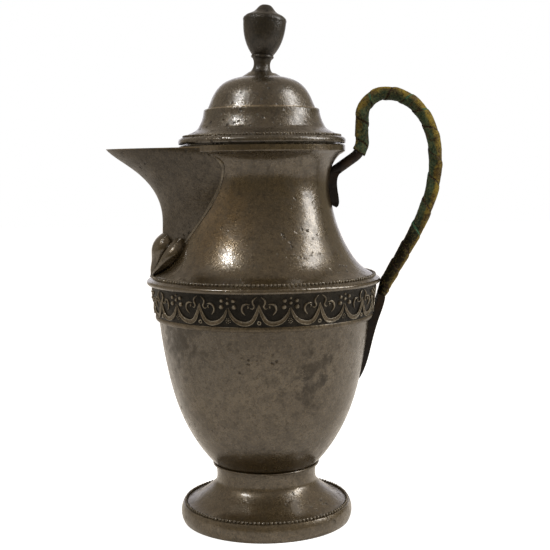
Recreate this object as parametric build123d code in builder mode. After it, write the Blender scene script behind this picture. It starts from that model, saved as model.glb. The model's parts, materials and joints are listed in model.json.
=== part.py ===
from build123d import *

import math
import os

# A pewter pot with an open beak spout, a loose domed lid and an iron handle wound with a strip.
# Millimetres. Z is the pot's axis, Z = 0 is the foot's resting face, +X points to the handle.

# Walls and fits
WALL = 1.5
LID_WALL = 1.4
SPOUT_WALL = 1.4
SOLDER_GAP = 0.04
SLEEVE_CLEARANCE = 0.3
LID_SEAT_GAP = 0.05

# Foot
FOOT_REST_R = 42.3
FOOT_EDGE_R = 43.4
FOOT_WALL_TOP = 8.8
FOOT_BEAD_SIZE = 1.9
FOOT_DISH_R = 39.6
FOOT_FLARE = 1.1
FOOT_SKIRT = 1.9
STEM_R = 25.0
STEM_WAIST_Z = 22.5
STEM_TOP_Z = 28.2
STEM_TOP_R = 25.8

# Lip and bowl
LIP_R = 27.0
LIP_BORE_R = 22.0
LIP_TOP_Z = 29.2
LIP_ROUNDING = 0.4
BOWL_OUTLINE = [(26.1, LIP_TOP_Z), (33.85, 38.8), (39.1, 47.7), (43.1, 56.7), (48.2, 74.7), (51.4, 92.9),
                (54.0, 120.3)]
BOWL_THICK_BELOW_Z = 60.0
BOWL_LOW_WALL = 1.95
BOWL_FLOOR_R = 24.5

# Band, flange and neck
FILLET_BOTTOM_Z = 102.6
FILLET_TOP_Z = 105.2
BAND_TOP_Z = 119.0
BAND_LOW_R = 54.3
BAND_TOP_R = 55.8
BAND_BORE_R = 50.0
FLANGE_UNDER_Z = 120.3
FLANGE_UNDER_R = 57.2
FLANGE_EDGE_R = 58.3
FLANGE_EDGE_Z = 121.8
FLANGE_TOP_Z = 125.3
FLANGE_BORE_R = 51.0
SHOULDER_R = 53.0
SHOULDER_BEAD_SIZE = 2.0
NECK_OUTLINE = [(SHOULDER_R, FLANGE_TOP_Z), (48.3, 128.7), (42.8, 136.1), (37.2, 148.3), (34.0, 161.0),
                (33.1, 171.0), (34.6, 177.7), (38.9, 183.8)]
NECK_THICK_BELOW_Z = 140.0
NECK_LOW_WALL = 2.1

# Rim and lid
RIM_UNDER_Z = 183.8
RIM_UNDER_R = 39.2
RIM_FACE_Z = 185.4
RIM_TOP_Z = 188.3
RIM_R = 41.2
RIM_BORE_R = 33.3
RIM_CHAMFER = 0.4
LID_R = 41.5
LID_EDGE_Z = 189.1
LID_SEAT_R = 37.0
LID_BEAD_LOW = (40.1, 192.1)
LID_BEAD_HIGH = (37.5, 193.4)
LID_BEAD_SIZE = 1.5
SLEEVE_TOP_Z = 193.0
SLEEVE_WALL = 1.2
DRUM_BOTTOM = (31.0, 198.0)
DRUM_WAIST = (29.5, 201.2)
DRUM_TOP = (28.6, 205.3)
DOME_FOOT = (26.8, 206.2)
DOME_TOP_Z = 222.6
SLEEVE_BOTTOM_Z = 178.6

# Finial, which leans a little towards the handle
FINIAL_Z = 222.3
FINIAL_LEAN = 4.5
TANG_R = 1.6
TANG_LENGTH = 5.0
COLLAR_R = 9.8
COLLAR_TOP = 1.6
STEM_FOOT_R = 5.8
COLLAR_SKIRT = 3.0
COLLAR_EDGE = -0.3
COLLAR_PEAK_R = 5.9
COLLAR_PEAK = 2.2
STEM_NECK_R = 4.9
URN_BOTTOM = 8.6
URN_TOP = 28.4
URN_R = 10.7
CAP_TOP = 34.7

# Spout: for each height, how far the keel stands out and half the width of the trough at the neck
SPOUT_TOP_Z = 187.3
SPOUT_LEVELS = [
    (138.5, 48.6, 19.5),
    (147.0, 50.2, 24.2),
    (157.0, 50.5, 27.3),
    (166.0, 53.8, 27.8),
    (174.5, 60.9, 29.2),
    (181.5, 70.3, 32.0),
    (SPOUT_TOP_Z, 77.4, 32.6),
]
SPOUT_ROOT_X = -12.0
SPOUT_THIN_BELOW_Z = 170.0
SPOUT_SIDE_WALL = 1.6
SPOUT_LIP_WALL = 2.6
SPOUT_FLOOR = 1.2
BEAK_STEPS = 5
BEAK_FLANK = 1.7
BEAK_KEEL = 0.8
WINDOW_HALF_WIDTH = 13.0
WINDOW_BOTTOM_Z = 150.0
WINDOW_TOP_Z = 179.0

# Bud under the spout, by levels: height, place of the middle (x, y), half sizes along X and Y
BUD_CENTRE = [
    (147.6, -45.0, 0.0, 0.8, 1.2),
    (146.2, -46.2, 0.0, 3.0, 4.2),
    (143.0, -48.2, 0.0, 5.2, 7.2),
    (139.0, -49.2, 0.0, 6.4, 8.6),
    (134.6, -50.8, 0.0, 5.1, 7.4),
    (130.5, -52.6, 0.0, 3.6, 5.0),
    (127.0, -54.6, 0.0, 2.1, 2.8),
    (123.6, -56.4, 0.0, 0.8, 0.8),
]
BUD_SIDE = [
    (144.0, -40.2, 8.8, 0.8, 0.8),
    (142.8, -40.8, 9.4, 2.8, 2.8),
    (140.0, -42.0, 10.4, 4.3, 4.3),
    (135.4, -44.4, 11.2, 5.0, 5.0),
    (131.4, -47.0, 9.2, 4.7, 4.7),
    (128.4, -49.9, 6.2, 3.9, 3.9),
    (126.0, -52.6, 3.4, 2.9, 2.6),
    (124.3, -54.2, 1.6, 1.5, 1.3),
]

# Handle bar: side-view line of its middle, from the leaf on the neck to the tail on the bowl
BAR_THICK = 5.2
BAR_WIDE = 7.0
BAR_START = (31.5, 172.3)
BAR_RISE_END = (45.5, 182.0)
BAR_UPRIGHT_LOW = (49.7, 190.1)
BAR_UPRIGHT_TOP = (49.7, 201.5)
BAR_TURNS = [(62.0, 213.4), (77.0, 206.8), (84.5, 193.6), (86.3, 180.0), (82.7, 159.5), (74.7, 142.0),
             (62.4, 121.0)]
BAR_TAPER_END = (59.0, 113.2)
BAR_END_THICK = 3.8
LEAF_TOP = (3.6, 174.6)
LEAF_WIDEST = (5.6, 163.5)
LEAF_TIP_Z = 157.2
LEAF_FACE = [(39.4, LEAF_TOP[1]), (37.9, 173.2), (37.2, 171.0), (37.1, 168.5), (37.5, 164.8), (38.0, 161.0),
             (37.8, 158.6), (36.7, LEAF_TIP_Z)]
LEAF_UNDER = (34.6, 158.4)
TAIL_OUTLINE = [(59.0, 106.0), (57.8, 102.8), (55.8, 96.7), (54.2, 90.6), (51.2, 78.3), (47.9, 70.4)]
TAIL_HALF_WIDTH = 4.6

# Wound strip: lengths along the bar where it starts and where its edge crosses the bar's front
WRAP_START = 20.5
WRAP_SEAMS = [25.9, 36.2, 47.7, 57.7, 67.0, 76.3, 86.2, 101.2, 112.6, 126.1, 139.2, 149.9, 160.6, 170.6]
STRIP_THICK = 0.7
STRIP_GAP = 0.9
STRIP_CLEARANCE = 0.25
STATIONS_PER_TURN = 12
STATIONS_BEFORE = 16
STATIONS_AFTER = 4
CELLS_ACROSS = 3

os.makedirs("parts", exist_ok=True)


def save(piece, name):
    """Labels a finished piece and writes it under its own name."""
    piece.label = name
    export_step(piece, f"parts/{name}.step")


def bead_strip(outer, inner, size):
    """Half-round strip standing on the straight seat between two (radius, height) points."""
    run = Vector(outer[0] - inner[0], outer[1] - inner[1])
    middle = Vector((outer[0] + inner[0]) / 2, (outer[1] + inner[1]) / 2)
    along = run.normalized() * (size / 2)
    outward = Vector(-run.Y, run.X).normalized() * (size / 2)
    if outward.Y < 0:
        outward = outward * -1
    ends = (middle - along, middle + along)
    ThreePointArc(ends[0], middle + outward, ends[1])
    Line(ends[1], ends[0])


# Foot: steep rounded rim wall, flat bead seat, dished top, waisted stem, all hollow underneath
foot_seat_out = (FOOT_EDGE_R - FOOT_FLARE, FOOT_WALL_TOP)
foot_seat_in = (FOOT_DISH_R, FOOT_WALL_TOP + 0.6)
with BuildPart() as foot_casting:
    with BuildSketch(Plane.XZ):
        with BuildLine():
            wall = ThreePointArc(
                (FOOT_REST_R, 0), (FOOT_EDGE_R, FOOT_WALL_TOP * 0.55), foot_seat_out)
            seat = Line(wall @ 1, foot_seat_in)
            dish = Spline(seat @ 1, (32.0, 13.6), (STEM_R + 1.0, 18.8), (STEM_R, STEM_WAIST_Z),
                          tangents=[(-1, 0.25), (0, 1)])
            stem = ThreePointArc(dish @ 1, (STEM_R + 0.2, 25.6), (STEM_TOP_R, STEM_TOP_Z))
            top = Line(stem @ 1, (STEM_TOP_R - WALL - 0.6, STEM_TOP_Z))
            bore = Line(top @ 1, (STEM_R - WALL - 0.3, STEM_WAIST_Z - 2))
            inner_dish = Spline(bore @ 1, (30.5, 12.2), (FOOT_DISH_R - 0.6, FOOT_WALL_TOP - 1.3),
                                tangents=[(0.1, -1), (1, -0.25)])
            Polyline(inner_dish @ 1, (FOOT_REST_R - FOOT_SKIRT, FOOT_WALL_TOP - 2.0),
                     (FOOT_REST_R - FOOT_SKIRT, 0), (FOOT_REST_R, 0))
        make_face()
    revolve(axis=Axis.Z)
save(foot_casting.part, "foot_casting")

with BuildPart() as foot_bead_ring:
    with BuildSketch(Plane.XZ):
        with BuildLine():
            bead_strip(foot_seat_out, foot_seat_in, FOOT_BEAD_SIZE)
        make_face()
    revolve(axis=Axis.Z)
save(foot_bead_ring.part, "foot_bead_ring")

# Thin collar on the stem, under the bowl
with BuildPart() as stem_lip:
    with BuildSketch(Plane.XZ):
        with Locations(((LIP_R + LIP_BORE_R) / 2, (STEM_TOP_Z + LIP_TOP_Z) / 2)):
            Rectangle(LIP_R - LIP_BORE_R, LIP_TOP_Z - STEM_TOP_Z)
    revolve(axis=Axis.Z)
    fillet(stem_lip.edges().filter_by(GeomType.CIRCLE).sort_by(SortBy.RADIUS)[-2:], LIP_ROUNDING)
save(stem_lip.part, "stem_lip")

# Bowl: closed at the bottom, its wall runs up behind the band to the flange
with BuildPart() as bowl_shell:
    with BuildSketch(Plane.XZ):
        with BuildLine():
            Line((0, LIP_TOP_Z), BOWL_OUTLINE[0])
            side = Spline(*BOWL_OUTLINE)
            inside = Spline(*[(r - (BOWL_LOW_WALL if z < BOWL_THICK_BELOW_Z else WALL), z)
                              for r, z in BOWL_OUTLINE[1:]])
            Line(side @ 1, inside @ 1)
            Polyline(inside @ 0, (BOWL_FLOOR_R, LIP_TOP_Z + WALL), (0, LIP_TOP_Z + WALL), (0, LIP_TOP_Z))
        make_face()
    revolve(axis=Axis.Z)
save(bowl_shell.part, "bowl_shell")

# Solid body inside the bowl's outer face, used only to fit what lies on the bowl
with BuildPart() as bowl_body:
    with BuildSketch(Plane.XZ):
        with BuildLine():
            Line((0, LIP_TOP_Z), BOWL_OUTLINE[0])
            side = Spline(*BOWL_OUTLINE)
            Polyline(side @ 1, (0, FLANGE_UNDER_Z), (0, LIP_TOP_Z))
        make_face()
    revolve(axis=Axis.Z)

# Plain moulding under the band, and the band that carries the ornament
with BuildPart() as band_fillet:
    with BuildSketch(Plane.XZ):
        with BuildLine():
            under = Line((BAND_BORE_R, FILLET_BOTTOM_Z), (BAND_LOW_R - 0.9, FILLET_BOTTOM_Z))
            face = ThreePointArc(under @ 1, (BAND_LOW_R + 0.1, FILLET_BOTTOM_Z + 1.4),
                                 (BAND_LOW_R - 0.2, FILLET_TOP_Z))
            Polyline(face @ 1, (BAND_BORE_R, FILLET_TOP_Z), under @ 0)
        make_face()
    revolve(axis=Axis.Z)
    add(bowl_body.part, mode=Mode.SUBTRACT)
save(band_fillet.part, "band_fillet")

with BuildPart() as frieze_band:
    with BuildSketch(Plane.XZ):
        with BuildLine():
            Polyline((BAND_BORE_R, FILLET_TOP_Z), (BAND_LOW_R, FILLET_TOP_Z), (BAND_TOP_R, BAND_TOP_Z),
                     (BAND_TOP_R + 0.3, FLANGE_UNDER_Z), (BAND_BORE_R, FLANGE_UNDER_Z), close=True)
        make_face()
    revolve(axis=Axis.Z)
    add(bowl_body.part, mode=Mode.SUBTRACT)
save(frieze_band.part, "frieze_band")

# Flange at the widest place, with a sloping top that carries the beads
flange_lip_top = (FLANGE_EDGE_R - 0.8, FLANGE_EDGE_Z + 1.0)
flange_seat_top = (SHOULDER_R + 0.2, FLANGE_TOP_Z)
with BuildPart() as shoulder_flange:
    with BuildSketch(Plane.XZ):
        with BuildLine():
            under = Line((FLANGE_BORE_R, FLANGE_UNDER_Z), (FLANGE_UNDER_R, FLANGE_UNDER_Z))
            edge = ThreePointArc(under @ 1, (FLANGE_EDGE_R, FLANGE_EDGE_Z), flange_lip_top)
            Polyline(edge @ 1, flange_seat_top, (FLANGE_BORE_R, FLANGE_TOP_Z), under @ 0)
        make_face()
    revolve(axis=Axis.Z)
save(shoulder_flange.part, "shoulder_flange")

with BuildPart() as shoulder_bead_ring:
    with BuildSketch(Plane.XZ):
        with BuildLine():
            bead_strip(flange_lip_top, flange_seat_top, SHOULDER_BEAD_SIZE)
        make_face()
    revolve(axis=Axis.Z)
save(shoulder_bead_ring.part, "shoulder_bead_ring")

# Neck: concave wall with an arched opening into the spout
with BuildPart() as neck_shell:
    with BuildSketch(Plane.XZ):
        with BuildLine():
            outside = Spline(*NECK_OUTLINE)
            inside = Spline(*[(r - (NECK_LOW_WALL if z < NECK_THICK_BELOW_Z else WALL), z)
                              for r, z in NECK_OUTLINE])
            Line(outside @ 0, inside @ 0)
            Line(outside @ 1, inside @ 1)
        make_face()
    revolve(axis=Axis.Z)
    with BuildSketch(Plane.YZ.offset(-60)):
        with BuildLine():
            sill = ThreePointArc(
                (-WINDOW_HALF_WIDTH, WINDOW_BOTTOM_Z + WINDOW_HALF_WIDTH), (0, WINDOW_BOTTOM_Z),
                (WINDOW_HALF_WIDTH, WINDOW_BOTTOM_Z + WINDOW_HALF_WIDTH))
            Polyline(sill @ 1, (WINDOW_HALF_WIDTH, WINDOW_TOP_Z), (-WINDOW_HALF_WIDTH, WINDOW_TOP_Z),
                     sill @ 0)
        make_face()
    extrude(amount=60, mode=Mode.SUBTRACT)
save(neck_shell.part, "neck_shell")

# Rim: flat top that the lid rests on, chamfered underneath
with BuildPart() as rim_ring:
    with BuildSketch(Plane.XZ):
        with BuildLine():
            Polyline((RIM_BORE_R, RIM_UNDER_Z), (RIM_UNDER_R, RIM_UNDER_Z),
                     (RIM_R - RIM_CHAMFER / 2, RIM_FACE_Z - RIM_CHAMFER), (RIM_R, RIM_FACE_Z),
                     (RIM_R, RIM_TOP_Z - RIM_CHAMFER), (RIM_R - RIM_CHAMFER, RIM_TOP_Z),
                     (RIM_BORE_R, RIM_TOP_Z), close=True)
        make_face()
    revolve(axis=Axis.Z)
save(rim_ring.part, "rim_ring")

# Solid body inside the neck's and the rim's outer faces, used only to fit what is soldered to them
with BuildPart() as neck_body:
    with BuildSketch(Plane.XZ):
        with BuildLine():
            outside = Spline(*NECK_OUTLINE)
            Polyline(outside @ 1, (RIM_UNDER_R, RIM_UNDER_Z),
                     (RIM_R - RIM_CHAMFER / 2, RIM_FACE_Z - RIM_CHAMFER), (RIM_R, RIM_FACE_Z),
                     (RIM_R, RIM_TOP_Z), (0, RIM_TOP_Z), (0, FLANGE_UNDER_Z),
                     (FLANGE_UNDER_R, FLANGE_UNDER_Z), (FLANGE_EDGE_R, FLANGE_EDGE_Z), flange_lip_top,
                     flange_seat_top, outside @ 0)
        make_face()
    revolve(axis=Axis.Z)


def beak(keel, half_width, height):
    """Level outline of the beak at one height: rounded at the keel, widest at the neck."""
    depth = keel + SPOUT_ROOT_X
    points = []
    for step in range(-BEAK_STEPS, BEAK_STEPS + 1):
        share = math.sin(math.radians(90 * step / BEAK_STEPS))
        out = depth * (1 - abs(share) ** BEAK_FLANK) ** BEAK_KEEL
        points.append((SPOUT_ROOT_X - out, half_width * share))
    with BuildSketch(Plane.XY.offset(height)) as outline:
        with BuildLine():
            side = Spline(*points)
            Line(side @ 1, side @ 0)
        make_face()
    return outline.sketch


# Spout: an open-topped beak, its root cut to the neck
with BuildPart() as spout_body:
    loft([beak(keel, half, z) for z, keel, half in SPOUT_LEVELS])
hollow_levels = []
for z, keel, half in SPOUT_LEVELS:
    wall = SPOUT_SIDE_WALL if z < SPOUT_THIN_BELOW_Z else SPOUT_LIP_WALL
    hollow_levels.append(beak(keel - wall, half - SPOUT_WALL, max(z, SPOUT_LEVELS[0][0] + SPOUT_FLOOR)))
with BuildPart() as spout_hollow:
    loft(hollow_levels)
    extrude(spout_hollow.faces().sort_by(Axis.Z)[-1], amount=2)
with BuildPart() as spout_shell:
    add(spout_body.part)
    add(spout_hollow.part, mode=Mode.SUBTRACT)
    add(neck_body.part, mode=Mode.SUBTRACT)
save(spout_shell.part, "spout_shell")

# Bud under the beak: three lobes that run together at the tip
with BuildPart() as spout_bud:
    for levels, side in ((BUD_CENTRE, 1), (BUD_SIDE, -1), (BUD_SIDE, 1)):
        sections = []
        for height, x, y, half_x, half_y in reversed(levels):
            with BuildSketch(Plane.XY.offset(height)) as section:
                with Locations((x, side * y)):
                    Ellipse(half_x, half_y)
            sections.append(section.sketch)
        loft(sections)
    for neighbour in (neck_body, spout_body, shoulder_bead_ring):
        add(neighbour.part, mode=Mode.SUBTRACT)
save(spout_bud.part, "spout_bud")

# Lid: moulded flange with a raised seat underneath, so that a thin gap shows at its edge
sleeve_r = RIM_BORE_R - SLEEVE_CLEARANCE
lid_seat_z = RIM_TOP_Z + LID_SEAT_GAP
with BuildPart() as lid_flange:
    with BuildSketch(Plane.XZ):
        with BuildLine():
            under = Polyline((sleeve_r, lid_seat_z), (LID_SEAT_R, lid_seat_z), (LID_SEAT_R, LID_EDGE_Z),
                             (LID_R - 0.3, LID_EDGE_Z))
            edge = ThreePointArc(under @ 1, (LID_R, LID_EDGE_Z + 1.0), LID_BEAD_LOW)
            seat = Line(edge @ 1, LID_BEAD_HIGH)
            cove = Spline(seat @ 1, (34.5, 194.9), (32.2, 196.3), DRUM_BOTTOM)
            Polyline(cove @ 1, (DRUM_BOTTOM[0] - LID_WALL, DRUM_BOTTOM[1]), (31.0, 195.4),
                     (sleeve_r, SLEEVE_TOP_Z), under @ 0)
        make_face()
    revolve(axis=Axis.Z)
save(lid_flange.part, "lid_flange")

with BuildPart() as lid_bead_ring:
    with BuildSketch(Plane.XZ):
        with BuildLine():
            bead_strip(LID_BEAD_LOW, LID_BEAD_HIGH, LID_BEAD_SIZE)
        make_face()
    revolve(axis=Axis.Z)
save(lid_bead_ring.part, "lid_bead_ring")

with BuildPart() as lid_sleeve:
    with BuildSketch(Plane.XZ):
        with BuildLine():
            Polyline((sleeve_r, SLEEVE_TOP_Z), (sleeve_r, SLEEVE_BOTTOM_Z + 0.6),
                     (sleeve_r - 0.5, SLEEVE_BOTTOM_Z), (sleeve_r - SLEEVE_WALL, SLEEVE_BOTTOM_Z),
                     (sleeve_r - SLEEVE_WALL, SLEEVE_TOP_Z), close=True)
        make_face()
    revolve(axis=Axis.Z)
save(lid_sleeve.part, "lid_sleeve")

with BuildPart() as lid_drum:
    with BuildSketch(Plane.XZ):
        with BuildLine():
            side = Spline(DRUM_BOTTOM, DRUM_WAIST, DRUM_TOP)
            corner = ThreePointArc(side @ 1, (DRUM_TOP[0] - 0.3, DOME_FOOT[1] - 0.25),
                                   (DRUM_TOP[0] - 1.0, DOME_FOOT[1]))
            Polyline(corner @ 1, (DOME_FOOT[0] - LID_WALL, DOME_FOOT[1]),
                     (DRUM_TOP[0] - LID_WALL, DRUM_TOP[1] - 0.5), (DRUM_WAIST[0] - LID_WALL, DRUM_WAIST[1]),
                     (DRUM_BOTTOM[0] - LID_WALL, DRUM_BOTTOM[1]), side @ 0)
        make_face()
    revolve(axis=Axis.Z)
save(lid_drum.part, "lid_drum")

# The finial's own axis, and the plane that its outlines are drawn in
lean = math.radians(FINIAL_LEAN)
finial_axis = Axis((0, 0, FINIAL_Z), (math.sin(lean), 0, math.cos(lean)))
finial_plane = Plane(origin=(0, 0, FINIAL_Z), x_dir=(math.cos(lean), 0, -math.sin(lean)), z_dir=(0, -1, 0))
dome_outline = [DOME_FOOT, (25.2, 209.9), (23.9, 212.8), (22.2, 215.5), (19.6, 218.2), (14.3, 220.9),
                (0, DOME_TOP_Z)]

with BuildPart() as dome_body:
    with BuildSketch(Plane.XZ):
        with BuildLine():
            outside = Spline(*dome_outline)
            Polyline(outside @ 1, (0, DOME_FOOT[1]), outside @ 0)
        make_face()
    revolve(axis=Axis.Z)

with BuildPart() as lid_dome:
    with BuildSketch(Plane.XZ):
        with BuildLine():
            outside = Spline(*dome_outline)
            inside = Spline((DOME_FOOT[0] - LID_WALL, DOME_FOOT[1]), (22.5, 212.4), (18.6, 216.7),
                            (13.6, 219.3), (0, DOME_TOP_Z - LID_WALL))
            Line(outside @ 0, inside @ 0)
            Line(outside @ 1, inside @ 1)
        make_face()
    revolve(axis=Axis.Z)
    with BuildSketch(Plane(origin=(0, 0, FINIAL_Z), z_dir=finial_axis.direction)):
        Circle(TANG_R)
    extrude(amount=10, both=True, mode=Mode.SUBTRACT)
save(lid_dome.part, "lid_dome")

# Finial: low cone on the dome, waisted stem with its tang, urn with a small ring foot, domed cap.
# The cone stands upright on the dome, its top is cut square to the leaning stem.
finial_up = finial_axis.direction
collar_top_plane = Plane(origin=Vector(0, 0, FINIAL_Z) + finial_up * COLLAR_TOP, z_dir=finial_up)
with BuildPart() as finial_collar:
    with BuildSketch(Plane.XZ):
        with BuildLine():
            Polyline((0, FINIAL_Z - COLLAR_SKIRT), (COLLAR_R, FINIAL_Z - COLLAR_SKIRT),
                     (COLLAR_R, FINIAL_Z + COLLAR_EDGE), (COLLAR_R - 0.5, FINIAL_Z + COLLAR_EDGE + 0.3),
                     (COLLAR_PEAK_R, FINIAL_Z + COLLAR_PEAK), (0, FINIAL_Z + COLLAR_PEAK), close=True)
        make_face()
    revolve(axis=Axis.Z)
    with BuildSketch(collar_top_plane):
        Circle(2 * COLLAR_R)
    extrude(amount=COLLAR_PEAK, mode=Mode.SUBTRACT)
    with BuildSketch(collar_top_plane):
        Circle(TANG_R)
    extrude(amount=-2 * TANG_LENGTH, mode=Mode.SUBTRACT)
    add(dome_body.part, mode=Mode.SUBTRACT)
save(finial_collar.part, "finial_collar")

with BuildPart() as finial_stem:
    with BuildSketch(finial_plane):
        with BuildLine():
            side = Spline((STEM_FOOT_R, COLLAR_TOP), (4.5, 3.4), (4.05, 5.2), (STEM_NECK_R, URN_BOTTOM))
            Polyline(side @ 1, (0, URN_BOTTOM), (0, -TANG_LENGTH), (TANG_R, -TANG_LENGTH),
                     (TANG_R, COLLAR_TOP), side @ 0)
        make_face()
    revolve(axis=finial_axis)
save(finial_stem.part, "finial_stem")

with BuildPart() as finial_urn:
    with BuildSketch(finial_plane):
        with BuildLine():
            foot = ThreePointArc((STEM_NECK_R, URN_BOTTOM), (5.6, URN_BOTTOM + 0.8),
                                 (5.2, URN_BOTTOM + 1.6))
            side = Spline(foot @ 1, (7.6, 13.8), (9.2, 17.6), (10.1, 21.4), (URN_R - 0.15, URN_TOP - 2.2))
            rim = ThreePointArc(side @ 1, (URN_R, URN_TOP - 1.1), (URN_R - 0.5, URN_TOP))
            Polyline(rim @ 1, (0, URN_TOP), (0, URN_BOTTOM), foot @ 0)
        make_face()
    revolve(axis=finial_axis)
save(finial_urn.part, "finial_urn")

with BuildPart() as finial_cap:
    with BuildSketch(finial_plane):
        with BuildLine():
            side = Spline((URN_R - 0.8, URN_TOP), (8.0, URN_TOP + 1.5), (5.4, URN_TOP + 2.9),
                          (4.1, URN_TOP + 4.3), (2.6, URN_TOP + 5.8), (0, CAP_TOP),
                          tangents=[(-0.4, 1), (-1, 0)])
            Polyline(side @ 1, (0, URN_TOP), side @ 0)
        make_face()
    revolve(axis=finial_axis)
save(finial_cap.part, "finial_cap")


def side_view(point):
    """Puts a side-view (x, z) point on the pot's middle plane."""
    return Vector(point[0], 0, point[1])


# Middle line of the handle bar, as arcs that run smoothly into each other
with BuildLine() as bar_line:
    bend = Line(side_view(BAR_START), side_view(BAR_RISE_END))
    bend = TangentArc(bend @ 1, side_view(BAR_UPRIGHT_LOW), tangent=bend % 1)
    bend = Line(bend @ 1, side_view(BAR_UPRIGHT_TOP))
    for turn in BAR_TURNS:
        bend = TangentArc(bend @ 1, side_view(turn), tangent=bend % 1)
bar_path = bar_line.wires()[0]
taper_end = side_view(BAR_TAPER_END)
taper_run = (taper_end - bar_path @ 1).normalized()

# What touches the pot stays this much clear of it
solder_shift = Location((SOLDER_GAP, 0, 0))
with BuildPart() as handle_bar:
    add(bar_line.line)
    with BuildSketch(Plane(origin=bar_path @ 0, x_dir=(0, 1, 0), z_dir=bar_path % 0)):
        Ellipse(BAR_WIDE / 2, BAR_THICK / 2)
    sweep()
    bar_end = handle_bar.faces().filter_by(GeomType.PLANE).sort_by_distance(bar_path @ 1)[0]
    with BuildSketch(Plane(origin=taper_end, x_dir=(0, 1, 0), z_dir=taper_run)) as taper_face:
        Ellipse(BAR_WIDE / 2, BAR_END_THICK / 2)
    loft([bar_end, taper_face.sketch.faces()[0]])
    add(neck_body.part.moved(solder_shift), mode=Mode.SUBTRACT)
save(handle_bar.part, "handle_bar")

# Leaf that lies round the neck under the bar's upper end
with BuildPart() as handle_leaf:
    with BuildSketch(Plane.XZ):
        with BuildLine():
            face = Spline(*LEAF_FACE)
            Polyline(face @ 1, LEAF_UNDER, (30.0, LEAF_UNDER[1]), (30.0, LEAF_TOP[1]), face @ 0)
        make_face()
    revolve(axis=Axis.Z)
    with BuildSketch(Plane.YZ.offset(20)):
        with BuildLine():
            right = Spline(LEAF_TOP, LEAF_WIDEST, (0, LEAF_TIP_Z), tangents=[(0.2, -1), (-1, 0)])
            mirror(about=Plane.YZ)
            Line(LEAF_TOP, (-LEAF_TOP[0], LEAF_TOP[1]))
        make_face()
    extrude(amount=30, mode=Mode.INTERSECT)
    add(neck_body.part.moved(solder_shift), mode=Mode.SUBTRACT)
    add(handle_bar.part, mode=Mode.SUBTRACT)
save(handle_leaf.part, "handle_leaf")

# Tail: goes on from the bar beside the band and tapers down the bowl
half_end = Vector(-taper_run.Z, 0, taper_run.X) * (BAR_END_THICK / 2)
tail_out = taper_end + half_end
tail_in = taper_end - half_end
with BuildPart() as handle_tail:
    with BuildSketch(Plane.XZ):
        with BuildLine():
            outer = Spline((tail_out.X, tail_out.Z), *TAIL_OUTLINE)
            Polyline(outer @ 1, (46.0, 74.0), (49.0, 90.0), (52.4, 101.0), (54.9, 104.0), (55.7, 108.5),
                     (tail_in.X, tail_in.Z), outer @ 0)
        make_face()
    extrude(amount=TAIL_HALF_WIDTH, both=True)
    with BuildSketch(Plane.YZ.offset(40)):
        with BuildLine():
            right = Spline((BAR_WIDE / 2 - 0.2, 116.0), (TAIL_HALF_WIDTH, 99.0), (3.0, 82.0),
                           (0, TAIL_OUTLINE[-1][1]))
            mirror(about=Plane.YZ)
            Line(right @ 0, (-BAR_WIDE / 2 + 0.2, 116.0))
        make_face()
    extrude(amount=40, mode=Mode.INTERSECT)
    add(bowl_body.part.moved(solder_shift), mode=Mode.SUBTRACT)
    add(band_fillet.part.moved(solder_shift), mode=Mode.SUBTRACT)
save(handle_tail.part, "handle_tail")

# Strip wound round the bar: one unbroken band whose edges run round the bar from seam to seam, and
# whose two ends are cut square to the bar
with BuildLine() as wrap_line:
    add(bar_line.line)
    Line(bar_path @ 1, taper_end)
wrap_path = wrap_line.wires()[0]
wrap_length = wrap_path.length


def strip_edge(turn):
    """Length along the bar of the strip's first edge after so many turns, whole ones at the bar's front."""
    seam = min(max(math.floor(turn), 0), len(WRAP_SEAMS) - 2)
    pitch = WRAP_SEAMS[seam + 1] - WRAP_SEAMS[seam]
    return WRAP_SEAMS[seam] + pitch * (turn - seam)


def strip_point(along, turn, lift):
    """Point of the strip: a length along the bar, turns round it from the front, a height over the bar."""
    share = min(along / wrap_length, 1.0)
    centre = wrap_path.position_at(share)
    run = wrap_path.tangent_at(share)
    out = Vector(-run.Z, 0, run.X)
    past_bar = max(0.0, (along - bar_path.length) / (wrap_length - bar_path.length))
    thin = past_bar * (BAR_THICK - BAR_END_THICK) / 2
    angle = 2 * math.pi * (turn - 0.25)
    return (centre + out * math.cos(angle) * (BAR_THICK / 2 - thin + STRIP_CLEARANCE + lift)
            + Vector(0, 1, 0) * math.sin(angle) * (BAR_WIDE / 2 + STRIP_CLEARANCE + lift))


# Rows of corners across the strip, from before its first seam to after its last
rows = []
last_seam = (len(WRAP_SEAMS) - 1) * STATIONS_PER_TURN
for station in range(-STATIONS_BEFORE, last_seam + STATIONS_AFTER + 1):
    turn = station / STATIONS_PER_TURN
    low = max(strip_edge(turn), WRAP_START)
    high = min(strip_edge(turn + 1) - STRIP_GAP, wrap_length)
    lengths = [low + (high - low) * cell / CELLS_ACROSS for cell in range(CELLS_ACROSS + 1)]
    top = [strip_point(length, turn, STRIP_THICK) for length in lengths]
    under = [strip_point(length, turn, 0) for length in reversed(lengths)]
    rows.append(top + under)


def two_triangles(a, b, c, d):
    """The two flat faces of a four-cornered patch."""
    return [Face(Wire.make_polygon([a, b, c])), Face(Wire.make_polygon([a, c, d]))]


strip_faces = []
corners = len(rows[0])
for row, following in zip(rows, rows[1:]):
    for i in range(corners):
        k = (i + 1) % corners
        strip_faces += two_triangles(row[i], following[i], following[k], row[k])
for end_row in (rows[0], rows[-1]):
    for i in range(CELLS_ACROSS):
        strip_faces += two_triangles(end_row[i], end_row[i + 1], end_row[-2 - i], end_row[-1 - i])
with BuildPart() as handle_wrap:
    add(Solid(Shell(strip_faces)))
save(handle_wrap.part, "handle_wrap")

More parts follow.
